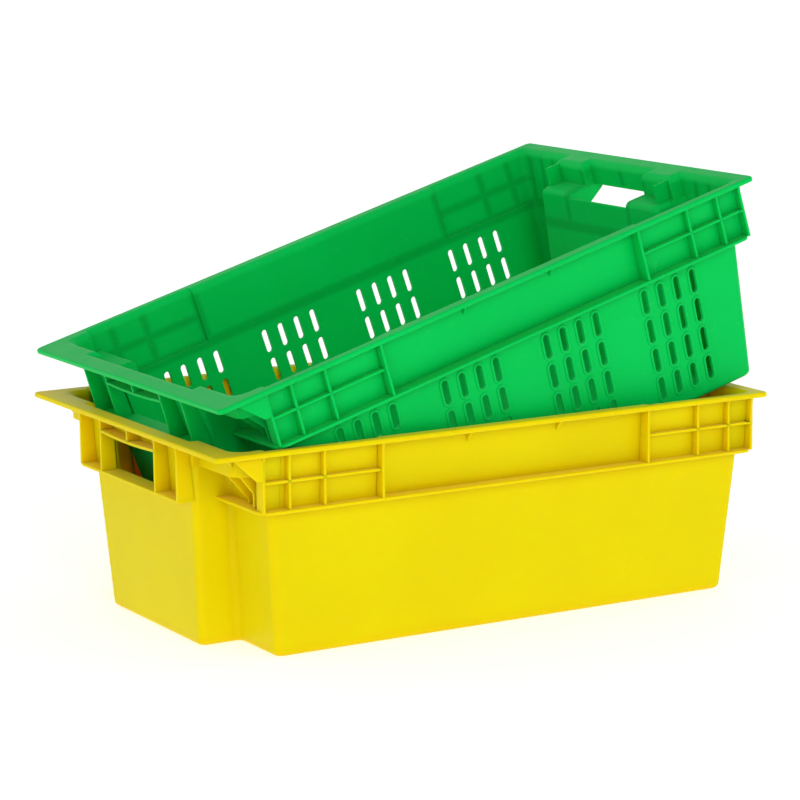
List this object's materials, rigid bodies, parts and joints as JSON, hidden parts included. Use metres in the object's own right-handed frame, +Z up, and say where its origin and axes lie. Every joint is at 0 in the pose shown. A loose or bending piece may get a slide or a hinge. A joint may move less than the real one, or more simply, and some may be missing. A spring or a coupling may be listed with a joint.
{
  "type": "stacking plastic crate",
  "caption": "Ribbed stack-and-nest plastic crates: a vented one lies tilted in a solid-walled one, its handle end nested and its raised end propped on the shelf guides",
  "frame": {"origin": "middle of the lower crate's footprint, on the ground it stands on", "axes": "+X along the length from the handle end to the socket end, +Y across the width towards the back, +Z up"},
  "size_m": [0.6029, 0.4, 0.4098],
  "materials": {
    "yellow_plastic": "smooth satin moulded polyethylene, slightly translucent",
    "green_plastic": "smooth satin moulded polyethylene, slightly translucent"
  },
  "bodies": {
    "lower_crate": {"lower_floor": "yellow_plastic", "lower_front_wall": "yellow_plastic", "lower_back_wall": "yellow_plastic", "lower_handle_end_wall": "yellow_plastic", "lower_socket_end_wall": "yellow_plastic", "lower_front_band": "yellow_plastic", "lower_back_band": "yellow_plastic", "lower_handle_end_band": "yellow_plastic", "lower_socket_end_band": "yellow_plastic", "lower_ledge": "yellow_plastic", "lower_front_ribs": "yellow_plastic", "lower_back_ribs": "yellow_plastic", "lower_corner_fins": "yellow_plastic", "lower_socket_fins": "yellow_plastic", "lower_shelf_guides": "yellow_plastic", "lower_handle_box": "yellow_plastic", "lower_rim": "yellow_plastic"},
    "upper_crate": {"upper_floor": "green_plastic", "upper_front_wall": "green_plastic", "upper_back_wall": "green_plastic", "upper_handle_end_wall": "green_plastic", "upper_socket_end_wall": "green_plastic", "upper_front_band": "green_plastic", "upper_back_band": "green_plastic", "upper_handle_end_band": "green_plastic", "upper_socket_end_band": "green_plastic", "upper_ledge": "green_plastic", "upper_front_ribs": "green_plastic", "upper_back_ribs": "green_plastic", "upper_corner_fins": "green_plastic", "upper_socket_fins": "green_plastic", "upper_shelf_guides": "green_plastic", "upper_handle_box": "green_plastic", "upper_rim": "green_plastic", "upper_front_vents": "green_plastic", "upper_back_vents": "green_plastic"}
  },
  "joints": [
    {"name": "lift_upper_crate", "type": "slide", "parent": "lower_crate", "child": "upper_crate", "axis": [0, 0, 1], "range_m": [0, 0.25]}
  ]
}
